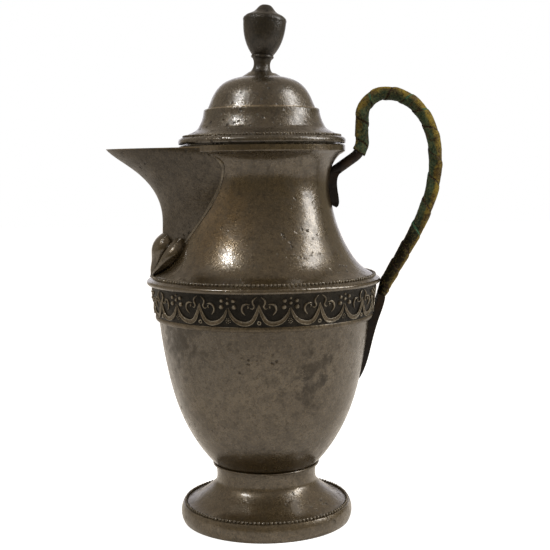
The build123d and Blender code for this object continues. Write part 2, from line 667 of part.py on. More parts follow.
least_gap = min((row[CELLS_ACROSS] - later[0]).length for row, later in zip(rows, rows[STATIONS_PER_TURN:]))
widths = [(row[CELLS_ACROSS] - row[0]).length for row in rows]
print(f"wound strip: {len(rows) / STATIONS_PER_TURN:.1f} turns, {widths[0]:.2f} wide at its start,"
      f" {max(widths):.2f} at most, {widths[-1]:.2f} at its end")
print(f"least gap of the strip to itself: {least_gap:.2f}")
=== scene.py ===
import json
import math

import bpy
from mathutils import Matrix, Vector, noise
from mathutils.bvhtree import BVHTree


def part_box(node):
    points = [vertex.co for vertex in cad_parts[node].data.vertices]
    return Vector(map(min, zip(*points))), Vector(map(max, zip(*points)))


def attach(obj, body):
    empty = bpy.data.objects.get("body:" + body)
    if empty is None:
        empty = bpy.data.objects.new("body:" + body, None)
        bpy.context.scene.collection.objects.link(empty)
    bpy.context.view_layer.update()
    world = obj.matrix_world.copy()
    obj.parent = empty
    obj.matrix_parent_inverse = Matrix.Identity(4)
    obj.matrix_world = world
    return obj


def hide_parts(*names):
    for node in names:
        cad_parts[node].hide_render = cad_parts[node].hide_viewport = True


# An old pewter pot with a beak spout, a beaded and swagged body and an iron handle wound with a strip.
# Metres. Z is the pot's axis, Z = 0 is the table, +X points to the handle and -Y to the camera.

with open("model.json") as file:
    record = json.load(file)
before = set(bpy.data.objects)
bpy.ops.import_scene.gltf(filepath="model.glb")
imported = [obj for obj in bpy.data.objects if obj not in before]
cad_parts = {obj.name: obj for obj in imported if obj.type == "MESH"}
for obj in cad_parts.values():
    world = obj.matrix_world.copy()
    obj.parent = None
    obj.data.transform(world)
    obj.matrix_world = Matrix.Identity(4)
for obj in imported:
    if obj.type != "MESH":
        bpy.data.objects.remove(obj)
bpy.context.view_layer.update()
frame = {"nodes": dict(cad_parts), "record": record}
nodes = frame["nodes"]

MM = 0.001

# Camera: place in millimetres, turns in degrees, focal length and width in pixels of the photograph, and the
# sensor's width in millimetres
CAMERA_PLACE = (-1.459, -525.0, 174.69)
CAMERA_DOWN = 5.545
CAMERA_RIGHT = 0.778
CAMERA_ROLL = 0.6815
FOCAL_PIXELS = 1050
PHOTO_WIDTH = 550
SENSOR = 36.0

# Lamps: place, point that they face, width, height and power
KEY_BOX = ((-0.65, -0.37, 0.97), (0, 0, 0.15), 0.09, 0.18, 4.0)
WINDOW_BOX = ((0.90, -0.12, 0.83), (0, -0.12, 0.83), 0.34, 1.05, 9.2)

# Room that lights the pot and that the metal mirrors, and the white that the camera sees
ROOM_LOW = (0.29, 0.24, 0.16)
ROOM_HIGH = (0.46, 0.395, 0.32)
LEFT_WALL = (0.60, 0.52, 0.42)
BACKDROP = (0.92, 0.89, 0.93)
WHITE = (1.0, 1.0, 1.0)

# Table: how far it reaches to the sides and the back, and to the front, its colour, the glow that the camera
# sees and those that the metal mirrors near the pot and far from it, and their strength
TABLE_REACH = 3.0
TABLE_FRONT = 0.42
TABLE_COLOUR = (0.8, 0.8, 0.8, 1)
TABLE_SEEN = (0.97, 0.98, 1.0)
TABLE_NEAR = (0.27, 0.225, 0.165)
TABLE_FAR = (0.15, 0.12, 0.085)
TABLE_GLOW = 0.78

# Marks in the pewter, as how many of each there are to a metre, and how far the rags push the pits' edges
CLOUDS, PATCHES, SWELLS, STAINS, MOTTLES, PITS = 26, 48, 60, 150, 190, 300
GRAINS, TARNISH, RAGS, SPECKS, FINE_GRAINS = 480, 620, 700, 1300, 1500
RAG_REACH = 0.0022

# Faint lines left by turning, which are close along the axis and long round it
TURNING_LINES = (12.0, 12.0, 1100.0)

# Pewter: its share of metal, how much rougher it is than its rubbed shine where brown and where bright, the
# shine's index of refraction and least share, and the colour of the painted shade in the lid's gap
METAL_SHARE = 0.6
BASE_ROUGHER = (0.24, 0.16)
SHINE_IOR = 1.6
SHINE_LEAST = 0.1
GAP_SHADE = (0.002, 0.0015, 0.001)

# Body finish: bright tone, brown tone and how rough its shine is
BODY_TONES = ((0.086, 0.062, 0.030), (0.058, 0.037, 0.011), 0.08)

# Dark patches on the bowl: place and size in metres
BODY_BLOTS = [
    ((-0.041, -0.032, 0.097), 0.015),
    ((0.0235, -0.0435, 0.084), 0.010),
    ((0.021, -0.042, 0.073), 0.009),
]

# Browner patches on neck and bowl: place and size in metres, and colour
BODY_TINTS = [
    ((-0.024, -0.027, 0.152), 0.028, (0.125, 0.074, 0.019)),
    ((-0.030, -0.042, 0.090), 0.030, (0.050, 0.034, 0.012)),
]

# Painted shade in the gap between lid and rim, in metres: its lower and upper height, how far out it starts,
# and how far it fades
LID_GAP = (0.1882, 0.1891)
LID_GAP_R = 0.0395
GAP_SHADE_FADE = 0.0002
GAP_SHADE_FADE_R = 0.0006

# Bead rings: name of the CAD ring, count, radius and height of the ring, bead radius, body, slot
BEAD_RINGS = [
    ("foot_bead_ring", 128, 41.0, 9.4, 0.86, "pot", "pewter_pot"),
    ("shoulder_bead_ring", 178, 55.3, 124.3, 0.90, "pot", "pewter_pot"),
    ("lid_bead_ring", 154, 38.8, 192.9, 0.62, "lid", "pewter_lid"),
]
BEAD_UNEVENNESS = 0.12

# Frieze: the band's lower and upper edge as (radius, height), how often the pattern repeats, and where one
# repeat has its middle, in degrees from the front
BAND_LOW = (54.3, 105.2)
BAND_HIGH = (55.95, 120.3)
REPEATS = 12
REPEAT_SHIFT = -17.6

# Relief: how deep its foot lies in the band, its greatest lift, the least share of its width that a line
# keeps at its ends, how fast it rises with its width there, and its sections as (share of half width, lift)
RELIEF_SINK = 0.06
TALLEST = 0.74
END_WIDTH = 0.12
END_RISE = 2.4
ROUND_RIDGE = [(-1.0, 0.0), (-0.8, 0.42), (0.0, 0.72), (0.8, 0.42), (1.0, 0.0)]
CRESCENT = [(-1.0, 0.0), (-0.95, 0.66), (-0.76, TALLEST), (-0.55, 0.36), (0.55, 0.36), (0.76, TALLEST),
            (0.95, 0.66), (1.0, 0.0)]

# Lines of the relief as (across, height): a swag from cusp to cusp, and half a loop with its scroll and spur
SWAG = [(0.3, 8.9), (0.8, 7.2), (2.0, 4.75), (4.1, 2.7), (6.7, 1.75), (9.25, 1.8), (11.3, 3.1), (13.0, 6.2),
        (13.75, 8.6), (14.1, 10.4)]
LOOP_SIDE = [(0.7, 14.2), (1.9, 13.4), (2.75, 12.3), (2.65, 11.0), (2.1, 9.8), (2.8, 8.6), (4.1, 8.8)]
SCROLL = [(3.9, 10.5), (5.6, 10.8), (7.1, 10.1), (7.7, 8.5), (7.3, 7.0), (6.1, 5.5)]
SPUR = [(5.1, 10.2), (4.7, 9.4), (5.1, 8.7)]

# How wide a swag's line is, and how far two swags lap over each other at a cusp
SWAG_WIDTH = 2.15
SWAG_OVERLAP = 0.2

# What stands over the loop's cusp: each line, its width and its steps from point to point
LOOP_LINES = [(LOOP_SIDE, 0.9, 4), (SCROLL, 1.1, 4), (SPUR, 0.8, 3)]

# Berries: how far from the middle, height, radius. They rise by a share of the radius
MIDDLE_BERRIES = [(0.0, 13.4, 0.6), (0.0, 11.1, 0.85)]
SIDE_BERRIES = [(2.75, 12.2, 0.95), (3.0, 9.3, 1.15)]
BERRY_RISE = 0.9

# Rosette: height of its middle, radii across and up, its petals and the turn of the first, and radius and
# lift of a petal and of the eye
ROSETTE_HEIGHT = 2.9
ROSETTE = (1.0, 1.05)
PETALS = 7
FIRST_PETAL = 0.3
PETAL = (0.33, 0.4)
EYE = (0.4, 0.45)

# Small ring between two swags: height, radius and its section as (how far out from its line, lift)
SMALL_RING = (2.0, 0.72)
RING_SECTION = [(-0.32, -RELIEF_SINK), (-0.2, 0.42), (0.2, 0.42), (0.32, -RELIEF_SINK)]

# Handle: side-view line of the bar's middle, as in the frame
BAR_THICK = 5.2
BAR_WIDE = 7.0
BAR_START = (31.5, 172.3)
BAR_RISE_END = (45.5, 182.0)
BAR_UPRIGHT_LOW = (49.7, 190.1)
BAR_UPRIGHT_TOP = (49.7, 201.5)
BAR_TURNS = [(62.0, 213.4), (77.0, 206.8), (84.5, 193.6), (86.3, 180.0), (82.7, 159.5), (74.7, 142.0),
             (62.4, 121.0)]
BAR_TAPER_END = (59.0, 113.2)
BAR_END_THICK = 3.8

# Strip: lengths along the bar where it starts and where its edge crosses the bar's front
WRAP_START = 20.5
WRAP_SEAMS = [25.9, 36.2, 47.7, 57.7, 67.0, 76.3, 86.2, 101.2, 112.6, 126.1, 139.2, 149.9, 160.6, 170.6]

# Strip: thickness, how far a turn laps over the one before, how high its edge lies on it, and its clearance
STRIP_THICK = 0.45
STRIP_OVERLAP = 1.6
STRIP_TUCK = 0.5
STRIP_CLEARANCE = 0.03

# How far the strip's edge wanders, its cells shift along it and its face wrinkles
WANDER = 0.45
SHIFT = 0.25
WRINKLE = 0.12
WRINKLE_DEPTH = 0.05

# Strip's mesh, and how many turns it goes on before its first seam and after its last
STATIONS_PER_TURN = 44
CELLS_ACROSS = 18
TURNS_BEFORE = 1.3
TURNS_AFTER = 0.25

# Strip: length that one turn takes in its pattern in metres, width of its dark edge and of the painted shadow
# beside the turn that laps over it, from where along the bar and over what length its wear and its soot come
# up, and its least wear
TURN_IN_PATTERN = 0.026
EDGE_WIDTH = 1.1
WEAR_FROM, WEAR_OVER, WEAR_LEAST = 62, 50, 0.6
SOOT_FROM, SOOT_OVER = 128, 18

# Solder line where the beak meets the neck: radius of the bead of metal, how uneven it is and with how many
# lumps to a metre, and how flat it lies
SOLDER_R = 0.95
UNEVEN = 0.35
LUMPS = 260
FLATNESS = 0.7

# Its stations, how many halvings find the beak's side, how far beside it the line lies in radians, and a
# radius outside the whole pot in metres
SOLDER_STATIONS = 60
HALVINGS = 22
SOLDER_BESIDE = 0.012
OUTSIDE_R = 0.12


def connect(tree, value, socket):
    """Links another node's output to a socket, or sets the socket to a plain value."""
    if isinstance(value, bpy.types.NodeSocket):
        tree.links.new(value, socket)
    else:
        socket.default_value = value


def add_node(tree, kind, settings=None, **inputs):
    """Adds a node, with its settings and its inputs, which are values or other nodes' outputs."""
    made = tree.nodes.new(kind)
    for name, value in (settings or {}).items():
        setattr(made, name, value)
    for name, value in inputs.items():
        connect(tree, value, made.inputs[name.replace("_", " ")])
    return made


def combine(tree, operation, first, second=0.0, third=0.0):
    """Result of one sum on values or outputs."""
    made = add_node(tree, "ShaderNodeMath", {"operation": operation})
    for socket, value in zip(made.inputs, (first, second, third)):
        connect(tree, value, socket)
    return made.outputs[0]


def times(tree, first, second):
    """Product of two values or outputs."""
    return combine(tree, "MULTIPLY", first, second)


def combine_vectors(tree, operation, *vectors):
    """Vector Math node on vectors or outputs."""
    made = add_node(tree, "ShaderNodeVectorMath", {"operation": operation})
    for socket, value in zip(made.inputs, vectors):
        connect(tree, value, socket)
    return made


def distance_to(tree, place, centre):
    """How far a place is from a point."""
    return combine_vectors(tree, "DISTANCE", place, centre).outputs["Value"]


def noise_value(tree, place, scale, detail=4.0, roughness=0.55, distortion=0.0):
    """Cloudy value from 0 to 1. The scale is how many clouds there are to a metre."""
    return add_node(tree, "ShaderNodeTexNoise", Vector=place, Scale=scale, Detail=detail, Roughness=roughness,
                    Distortion=distortion).outputs["Fac"]


def fade(tree, value, low, high, start=0.0, end=1.0):
    """Value that goes smoothly from start to end while the input goes from low to high."""
    made = add_node(tree, "ShaderNodeMapRange", {"interpolation_type": "SMOOTHSTEP"}, Value=value)
    for name, number in zip(("From Min", "From Max", "To Min", "To Max"), (low, high, start, end)):
        made.inputs[name].default_value = number
    return made.outputs["Result"]


def mix_colours(tree, share, first, second):
    """Colour between two colours or outputs."""
    made = add_node(tree, "ShaderNodeMix", {"data_type": "RGBA"})
    for socket, value in zip((made.inputs[0], made.inputs[6], made.inputs[7]), (share, first, second)):
        connect(tree, (*value, 1.0) if isinstance(value, tuple) else value, socket)
    return made.outputs[2]


def scaled(colour, share):
    """The colour made darker, or brighter where the share is over 1."""
    return tuple(share * part for part in colour)


def add_bump(tree, shader, height, strength, distance, socket="Normal"):
    """Shades the surface as if it had a height."""
    bump = add_node(tree, "ShaderNodeBump", Height=height, Strength=strength, Distance=distance)
    tree.links.new(bump.outputs["Normal"], shader.inputs[socket])


def attribute(tree, name):
    """Value of a piece's own attribute."""
    return add_node(tree, "ShaderNodeAttribute", {"attribute_name": name}).outputs["Fac"]


def mirrored_rays(tree, rays):
    """1 where a reflection or a clear material looks, 0 elsewhere."""
    return combine(tree, "MAXIMUM", rays["Is Glossy Ray"], rays["Is Transmission Ray"])


def new_material(name):
    """Empty material with its tree, its shader and a place on the piece in metres."""
    material = bpy.data.materials.new(name)
    material.use_nodes = True
    tree = material.node_tree
    place = add_node(tree, "ShaderNodeTexCoord").outputs["Object"]
    return material, tree, tree.nodes["Principled BSDF"], place


def uneven_place(tree, place, scale, reach):
    """The place pushed about by a noise, at most by the reach, so that what is drawn on it isn't round."""
    clouds = add_node(tree, "ShaderNodeTexNoise", Vector=place, Scale=scale, Detail=3.0)
    push = combine_vectors(tree, "SCALE", clouds.outputs["Color"])
    push.inputs["Scale"].default_value = reach
    return combine_vectors(tree, "ADD", place, push.outputs[0]).outputs[0]


def gap_shade(tree, place, height, gap_shade_heights):
    """Painted shade in the lid's gap: 1 between the two given heights on the outer metal, 0 elsewhere."""
    level = combine_vectors(tree, "MULTIPLY", place, (1, 1, 0)).outputs[0]
    out = combine_vectors(tree, "LENGTH", level).outputs["Value"]
    shaded = times(tree, fade(tree, height, gap_shade_heights[0] - GAP_SHADE_FADE, gap_shade_heights[0]),
                 fade(tree, height, gap_shade_heights[1], gap_shade_heights[1] + GAP_SHADE_FADE, 1.0, 0.0))
    return times(tree, shaded, fade(tree, out, LID_GAP_R - GAP_SHADE_FADE_R, LID_GAP_R))


def pewter(name, bright, brown, shine, pits=0.5, grain=0.5, polish=0.8, crest=None, gap_shade_heights=None, highlight_heights=(),
           blots=(), tints=()):
    """Old pewter: clouded brown metal with a fine cast grain, small pits, stains and faint turning lines,
    under a polished shine. Where a crest colour is given, the attribute "crest" says where the relief takes
    it:
    its tops lighter, partly worn bright and partly a painted highlight. Between the gap's two heights in
    metres the outer metal is painted black as shade in the lid's gap, the edge heights get thin lines of
    painted highlight, blots are the places and sizes of dark patches, and tints the places, sizes and colours
    of soft ones."""
    material, tree, shader, place = new_material(name)
    clouds = noise_value(tree, place, CLOUDS, 4, 0.6)
    mottle = noise_value(tree, place, MOTTLES, 6, 0.74)
    specks = noise_value(tree, place, SPECKS, 3, 0.6)
    skin = mix_colours(tree, fade(tree, clouds, 0.38, 0.64), brown, bright)
    for centre, reach, colour in tints:
        tint = fade(tree, distance_to(tree, place, centre), 0.3 * reach, reach, 0.85, 0.0)
        skin = mix_colours(tree, tint, skin, colour)
    # Relief tops lighter by the crest colour: partly worn bright, partly painted highlight
    if crest:
        skin = mix_colours(tree, fade(tree, attribute(tree, "crest"), 0.62, 0.9), skin, crest)

    # Marks in the skin: mottling, tarnish, specks, stains, pits and dark patches
    skin = mix_colours(tree, fade(tree, mottle, 0.42, 0.62, 0.0, 0.5), skin, scaled(brown, 0.5))
    tarnish = fade(tree, noise_value(tree, place, TARNISH, 5, 0.75), 0.50, 0.64, 0.0, 0.55)
    skin = mix_colours(tree, tarnish, skin, scaled(brown, 0.35))
    skin = mix_colours(tree, fade(tree, specks, 0.52, 0.70, 0.0, 0.45), skin, scaled(bright, 1.7))
    skin = mix_colours(tree, fade(tree, specks, 0.46, 0.34, 0.0, 0.6), skin, scaled(brown, 0.45))
    cells = add_node(tree, "ShaderNodeTexVoronoi", {"feature": "F1"}, Scale=PITS, Randomness=1.0,
                     Vector=uneven_place(tree, place, RAGS, RAG_REACH))
    patch = fade(tree, noise_value(tree, place, PATCHES, 3, 0.6), 0.62 - 0.12 * pits, 0.74 - 0.12 * pits)
    hole = times(tree, fade(tree, cells.outputs["Distance"], 0.12, 0.3, 1.0, 0.0), patch)
    stain = fade(tree, noise_value(tree, place, STAINS, 6, 0.82, 0.8), 0.58, 0.70, 0.0, 0.65)
    skin = mix_colours(tree, stain, skin, scaled(brown, 0.4))
    skin = mix_colours(tree, times(tree, hole, 0.8), skin, scaled(brown, 0.25))
    for centre, reach in blots:
        off = combine(tree, "MULTIPLY_ADD", mottle, -5.0 * reach, distance_to(tree, place, centre))
        blot = fade(tree, off, -2.4 * reach, -1.1 * reach, 0.65, 0.0)
        skin = mix_colours(tree, blot, skin, scaled(brown, 0.3))
        stain = combine(tree, "MAXIMUM", stain, blot)

    # Painted highlight lines along edges, and painted shade in the gap where the lid meets the rim
    height = add_node(tree, "ShaderNodeSeparateXYZ", Vector=place).outputs["Z"]
    # Each edge height gets a thin line of painted highlight
    for edge in highlight_heights:
        off = combine(tree, "ABSOLUTE", combine(tree, "SUBTRACT", height, edge))
        line = times(tree, fade(tree, off, 0.0002, 0.0006, 1.0, 0.0), fade(tree, mottle, 0.40, 0.50))
        skin = mix_colours(tree, line, skin, scaled(bright, 2.6))
    unshaded = 1.0
    # Painted shade: the gap between lid and rim turns near black and loses its shine
    if gap_shade_heights:
        unshaded = combine(tree, "SUBTRACT", 1.0, gap_shade(tree, place, height, gap_shade_heights))
        skin = mix_colours(tree, unshaded, GAP_SHADE, skin)

    # Metal under the shine
    tree.links.new(skin, shader.inputs["Base Color"])
    shader.inputs["Metallic"].default_value = METAL_SHARE
    gloss = times(tree, unshaded, min(1.0, 0.35 + polish))
    tree.links.new(gloss, shader.inputs["Specular IOR Level"])
    smooth = fade(tree, mottle, 0.35, 0.75, -0.03, 0.14)
    wiped = fade(tree, clouds, 0.3, 0.7, *(shine + more for more in BASE_ROUGHER))
    wiped = combine(tree, "ADD", wiped, smooth)
    tree.links.new(combine(tree, "ADD", wiped, times(tree, hole, 0.3)), shader.inputs["Roughness"])

    # Rubbed shine over it, weakest over pits, stains and tarnish
    shader.inputs["Coat IOR"].default_value = SHINE_IOR
    bare = combine(tree, "MAXIMUM", combine(tree, "MAXIMUM", hole, stain), tarnish)
    shown = combine(tree, "SUBTRACT", fade(tree, mottle, 0.38, 0.64, 1.0, 0.78), bare)
    shown = times(tree, combine(tree, "MAXIMUM", shown, SHINE_LEAST), polish)
    tree.links.new(times(tree, shown, unshaded), shader.inputs["Coat Weight"])
    tree.links.new(combine(tree, "ADD", shine, smooth), shader.inputs["Coat Roughness"])

    # Swells, turning lines, pits and grain in the surface. The shine shows half of the grain
    swell = times(tree, noise_value(tree, place, SWELLS, 3, 0.5), 1.6)
    turned = add_node(tree, "ShaderNodeMapping", Vector=place, Scale=TURNING_LINES).outputs["Vector"]
    swell = combine(tree, "MULTIPLY_ADD", noise_value(tree, turned, 1.0, 2, 0.5), 0.10, swell)
    swell = combine(tree, "SUBTRACT", swell, times(tree, hole, 1.6))
    rough = combine(tree, "ADD", times(tree, noise_value(tree, place, FINE_GRAINS, 2, 0.6), 0.5),
                    times(tree, noise_value(tree, place, GRAINS, 3, 0.6), 0.35))
    for share, socket in ((grain, "Normal"), (0.5 * grain, "Coat Normal")):
        relief = combine(tree, "MULTIPLY_ADD", rough, share, swell)
        add_bump(tree, shader, relief, 0.55, 0.0003, socket)
    return material


def forged_iron():
    """Black-brown iron with a scaly skin."""
    material, tree, shader, place = new_material("forged_iron")
    scale = noise_value(tree, place, 420, 5, 0.7)
    rust = fade(tree, noise_value(tree, place, 90, 4, 0.6), 0.45, 0.7)
    skin = mix_colours(tree, rust, (0.013, 0.010, 0.009), (0.034, 0.020, 0.011))
    skin = mix_colours(tree, fade(tree, scale, 0.55, 0.75, 0.0, 0.5), skin, (0.06, 0.05, 0.042))
    tree.links.new(skin, shader.inputs["Base Color"])
    shader.inputs["Metallic"].default_value = 0.35
    shader.inputs["Specular IOR Level"].default_value = 0.3
    tree.links.new(fade(tree, scale, 0.3, 0.7, 0.40, 0.62), shader.inputs["Roughness"])
    add_bump(tree, shader, scale, 0.5, 0.0004)
    return material


def worn_strip():
    """Green strip that is worn to yellow and brown on its outer side and blackened towards its lower end."""
    material, tree, shader, place = new_material("worn_strip")
    wear, edge, soot = (attribute(tree, name) for name in ("wear", "edge", "soot"))
    lanes = add_node(tree, "ShaderNodeUVMap", {"uv_map": "strip"}).outputs["UV"]
    stretch = add_node(tree, "ShaderNodeMapping", Vector=lanes, Scale=(60.0, 900.0, 1.0)).outputs["Vector"]
    threads = noise_value(tree, stretch, 1.0, 3, 0.6)
    blotch = noise_value(tree, place, 190, 5, 0.65)
    wide = noise_value(tree, place, 75, 3, 0.6)

    # Green, and the yellow that it is worn to
    green = mix_colours(tree, fade(tree, blotch, 0.40, 0.62), (0.020, 0.036, 0.018), (0.058, 0.092, 0.050))
    green = mix_colours(tree, fade(tree, threads, 0.5, 0.8, 0.0, 0.5), green, (0.078, 0.074, 0.024))
    yellow = mix_colours(tree, fade(tree, blotch, 0.40, 0.60), (0.085, 0.055, 0.012), (0.250, 0.180, 0.026))
    worn = fade(tree, combine(tree, "ADD", wear, times(tree, wide, 1.3)), 1.02, 1.24)
    skin = mix_colours(tree, worn, green, yellow)

    # Dark streaks along it, brown patches, and soot on all but its outer side
    streaks = fade(tree, noise_value(tree, stretch, 3.0, 4, 0.7), 0.50, 0.66, 0.0, 0.75)
    skin = mix_colours(tree, streaks, skin, (0.020, 0.013, 0.005))
    brown = fade(tree, noise_value(tree, place, 130, 5, 0.75), 0.52, 0.64, 0.0, 0.75)
    skin = mix_colours(tree, brown, skin, (0.040, 0.022, 0.008))
    black = times(tree, soot, fade(tree, wear, 0.62, 0.9, 1.0, 0.0))
    skin = mix_colours(tree, times(tree, black, 0.93), skin, (0.010, 0.008, 0.006))

    # Seams, dark with green in places, partly the strip's dark edge and partly painted shadow where the next
    # turn laps over it, and grit
    greenish = fade(tree, noise_value(tree, place, 70, 2, 0.5), 0.56, 0.60)
    seam = mix_colours(tree, greenish, (0.022, 0.010, 0.005), (0.035, 0.125, 0.070))
    skin = mix_colours(tree, fade(tree, edge, 0.2, 0.8, 0.0, 0.92), skin, seam)
    grit = noise_value(tree, place, 1100, 3, 0.6)
    skin = mix_colours(tree, fade(tree, grit, 0.50, 0.66, 0.0, 0.45), skin, (0.155, 0.130, 0.045))
    skin = mix_colours(tree, fade(tree, grit, 0.46, 0.34, 0.0, 0.7), skin, (0.006, 0.005, 0.003))

    tree.links.new(skin, shader.inputs["Base Color"])
    shader.inputs["Specular IOR Level"].default_value = 0.12
    tree.links.new(fade(tree, blotch, 0.3, 0.7, 0.50, 0.72), shader.inputs["Roughness"])
    height = combine(tree, "MULTIPLY_ADD", threads, 0.8, times(tree, blotch, 1.6))
    add_bump(tree, shader, height, 0.7, 0.0004)
    return material


def into_scene(name, data):
    """New object in the scene."""
    made = bpy.data.objects.new(name, data)
    bpy.context.scene.collection.objects.link(made)
    return made


def make_camera():
    """Camera at the photograph's place, its right, up and back directions worked out from its three turns."""
    down, side, roll = (math.radians(turn) for turn in (CAMERA_DOWN, CAMERA_RIGHT, CAMERA_ROLL))
    forward = Vector((math.sin(side) * math.cos(down), math.cos(side) * math.cos(down), -math.sin(down)))
    level = Vector((math.cos(side), -math.sin(side), 0))
    below = forward.cross(level)
    right = level * math.cos(roll) + below * math.sin(roll)
    up = level * math.sin(roll) - below * math.cos(roll)
    lens = bpy.data.cameras.new("camera")
    lens.sensor_width = SENSOR
    lens.lens = SENSOR * FOCAL_PIXELS / PHOTO_WIDTH
    lens.clip_start = 0.01
    camera = into_scene("camera", lens)
    turn = Matrix((right, up, -forward)).transposed().to_4x4()
    camera.matrix_world = Matrix.Translation(Vector(CAMERA_PLACE) * MM) @ turn
    bpy.context.scene.camera = camera


def soft_box(name, place, target, width, height, power):
    """Rectangular lamp that faces a point."""
    lamp = bpy.data.lights.new(name, "AREA")
    lamp.shape = "RECTANGLE"
    lamp.size = width
    lamp.size_y = height
    lamp.energy = power
    place = Vector(place)
    turn = (place - Vector(target)).to_track_quat("Z", "Y").to_matrix().to_4x4()
    into_scene(name, lamp).matrix_world = Matrix.Translation(place) @ turn


def make_studio():
    """White to the camera, and to all else a room that is darker below, with a paler wall low on the left.
    What the metal mirrors has a pale backdrop too. A small bright lamp hangs high on the left, and a tall
    window stands on the right."""
    world = bpy.data.worlds.new("studio")
    bpy.context.scene.world = world
    world.use_nodes = True
    tree = world.node_tree
    background = tree.nodes["Background"]
    rays = add_node(tree, "ShaderNodeLightPath").outputs
    towards = add_node(tree, "ShaderNodeTexCoord").outputs["Generated"]
    axes = add_node(tree, "ShaderNodeSeparateXYZ", Vector=towards).outputs
    room = mix_colours(tree, fade(tree, axes["Z"], 0.05, 0.62), ROOM_LOW, ROOM_HIGH)
    wall = times(tree, fade(tree, axes["X"], -0.78, -0.96), fade(tree, axes["Z"], 0.3, 0.5, 1.0, 0.0))
    room = mix_colours(tree, wall, room, LEFT_WALL)
    backdrop = times(tree, mirrored_rays(tree, rays), fade(tree, axes["Y"], 0.83, 0.96))
    room = mix_colours(tree, backdrop, room, BACKDROP)
    seen = mix_colours(tree, rays["Is Camera Ray"], room, WHITE)
    tree.links.new(seen, background.inputs["Color"])
    soft_box("key_box", *KEY_BOX)
    soft_box("window_box", *WINDOW_BOX)


def make_table():
    """Table that is white to the camera, keeps the pot's faint shadow and is mirrored brown by the metal."""
    mesh = bpy.data.meshes.new("table")
    mesh.from_pydata([(-TABLE_REACH, -TABLE_FRONT, 0), (TABLE_REACH, -TABLE_FRONT, 0),
                      (TABLE_REACH, TABLE_REACH, 0), (-TABLE_REACH, TABLE_REACH, 0)], [], [(0, 1, 2, 3)])
    table = into_scene("table", mesh)
    material = bpy.data.materials.new("pale_table")
    material.use_nodes = True
    tree = material.node_tree
    tree.nodes.clear()
    rays = add_node(tree, "ShaderNodeLightPath").outputs
    diffuse = add_node(tree, "ShaderNodeBsdfDiffuse", Color=TABLE_COLOUR)
    out = combine_vectors(tree, "LENGTH", add_node(tree, "ShaderNodeTexCoord").outputs["Object"])
    shine = mix_colours(tree, fade(tree, out.outputs["Value"], 0.12, 0.36), TABLE_NEAR, TABLE_FAR)
    shown = mix_colours(tree, rays["Is Camera Ray"], shine, TABLE_SEEN)
    glow = add_node(tree, "ShaderNodeEmission", Strength=TABLE_GLOW, Color=shown)
    added = add_node(tree, "ShaderNodeAddShader")
    tree.links.new(diffuse.outputs[0], added.inputs[0])
    tree.links.new(glow.outputs[0], added.inputs[1])
    seen = combine(tree, "MAXIMUM", rays["Is Camera Ray"], mirrored_rays(tree, rays))
    pick = add_node(tree, "ShaderNodeMixShader", Fac=seen)
    tree.links.new(diffuse.outputs[0], pick.inputs[1])
    tree.links.new(added.outputs[0], pick.inputs[2])
    add_node(tree, "ShaderNodeOutputMaterial", Surface=pick.outputs[0])
    mesh.materials.append(material)


def dress(node, material):
    """Gives a CAD node its finish."""
    mesh = nodes[node].data
    mesh.materials.clear()
    mesh.materials.append(material)


def smooth_mesh(name, points, faces):
    """Smooth-shaded mesh of points and faces."""
    mesh = bpy.data.meshes.new(name)
    mesh.from_pydata(points, [], faces)
    mesh.polygons.foreach_set("use_smooth", [True] * len(faces))
    return mesh


def set_attribute(mesh, name, values):
    """Gives each point of a mesh its value."""
    mesh.attributes.new(name, "FLOAT", "POINT").data.foreach_set("value", values)


def wall_faces(start, rings, count):
    """Faces between closed rings of points that follow each other, the first point being numbered start."""
    return [(here + j, here + (j + 1) % count, here + count + (j + 1) % count, here + count + j)
            for here in range(start, start + (rings - 1) * count, count) for j in range(count)]


def end_faces(start, rings, count):
    """Faces that close the first ring and the last one."""
    last = start + (rings - 1) * count
    return [tuple(reversed(range(start, start + count))), tuple(range(last, last + count))]


def place_piece(piece, body, replaced=()):
    """Makes a piece ride on its body and the CAD nodes it stands for."""
    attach(piece, body)
    if replaced:
        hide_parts(*replaced)


def new_piece(name, points, faces, material, body, replaced=()):
    """Smooth mesh piece that rides on a body and stands for the CAD nodes named."""
    mesh = smooth_mesh(name, points, faces)
    mesh.materials.append(material)
    mesh.update()
    piece = into_scene(name, mesh)
    place_piece(piece, body, replaced)
    return piece


def new_tree(name, sockets):
    """Geometry tree with named inputs. Returns the tree and its input node's outputs."""
    tree = bpy.data.node_groups.new(name, "GeometryNodeTree")
    for label, kind in sockets:
        tree.interface.new_socket(name=label, in_out="INPUT", socket_type="NodeSocket" + kind)
    tree.interface.new_socket(name="Geometry", in_out="OUTPUT", socket_type="NodeSocketGeometry")
    return tree, tree.nodes.new("NodeGroupInput").outputs


def end_tree(tree, instances, material, smooth=False):
    """Ends a geometry tree: its instances become real shapes with their finish."""
    shape = add_node(tree, "GeometryNodeRealizeInstances", Geometry=instances.outputs["Instances"])
    if smooth:
        shape = add_node(tree, "GeometryNodeSetShadeSmooth", Geometry=shape.outputs["Geometry"])
    shape = add_node(tree, "GeometryNodeSetMaterial", Geometry=shape.outputs["Geometry"], Material=material)
    add_node(tree, "NodeGroupOutput", Geometry=shape.outputs["Geometry"])


def run_tree(name, tree, values, mesh=None):
    """Runs a node tree with its named input values and returns the result as a plain mesh piece."""
    holder = into_scene(name, mesh or bpy.data.meshes.new(name))
    modifier = holder.modifiers.new("nodes", "NODES")
    modifier.node_group = tree
    for item in tree.interface.items_tree:
        if item.in_out == "INPUT" and item.name in values:
            modifier[item.identifier] = values[item.name]
    graph = bpy.context.evaluated_depsgraph_get()
    made = bpy.data.meshes.new_from_object(holder.evaluated_get(graph))
    holder.modifiers.remove(modifier)
    holder.data = made
    return holder


